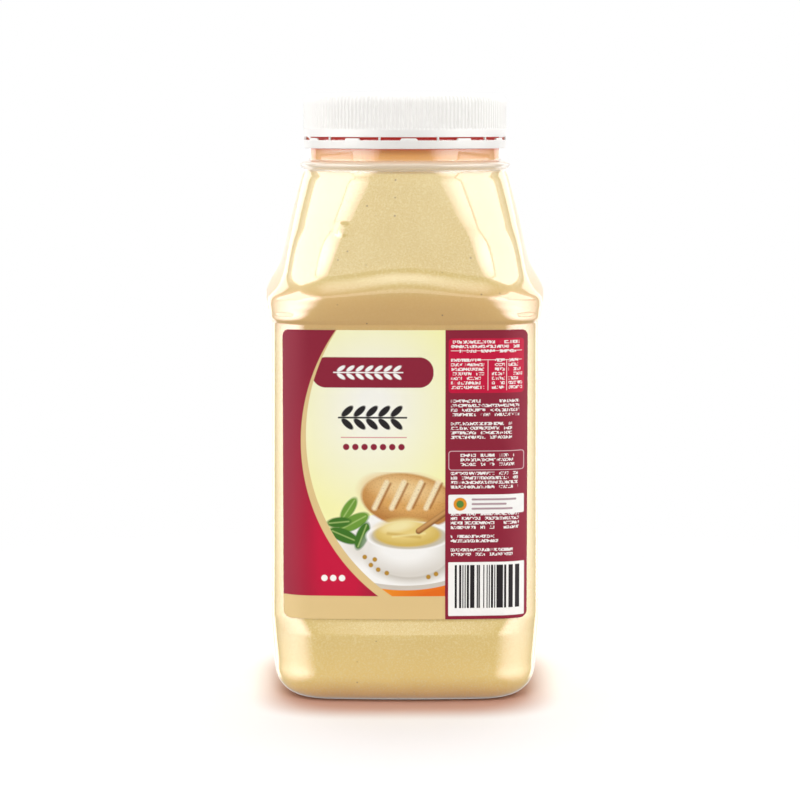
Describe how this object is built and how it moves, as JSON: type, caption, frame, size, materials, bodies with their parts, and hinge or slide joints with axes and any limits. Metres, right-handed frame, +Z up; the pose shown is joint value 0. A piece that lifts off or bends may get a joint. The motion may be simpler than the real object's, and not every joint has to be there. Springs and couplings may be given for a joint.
{
  "type": "mustard jar",
  "caption": "Family-size jar of mustard: clear blown jar, round at the neck and square below, with a bulge over the label panel, ribbed screw cap with tear band, front label",
  "frame": {"origin": "middle of the base, on the surface the jar stands on", "axes": "+Z up along the jar, -Y towards the label, +X to the right as seen from the label"},
  "size_m": [0.1208, 0.1216, 0.2499],
  "materials": {
    "jar": "clear blown plastic, smooth and glossy",
    "mustard": null,
    "lid": "satin moulded white plastic, fine ribs",
    "label": "printed film sticker, slightly glossy"
  },
  "bodies": {
    "root": {"jar": "jar", "mustard": "mustard", "lid": "lid", "label": "label"}
  },
  "joints": []
}
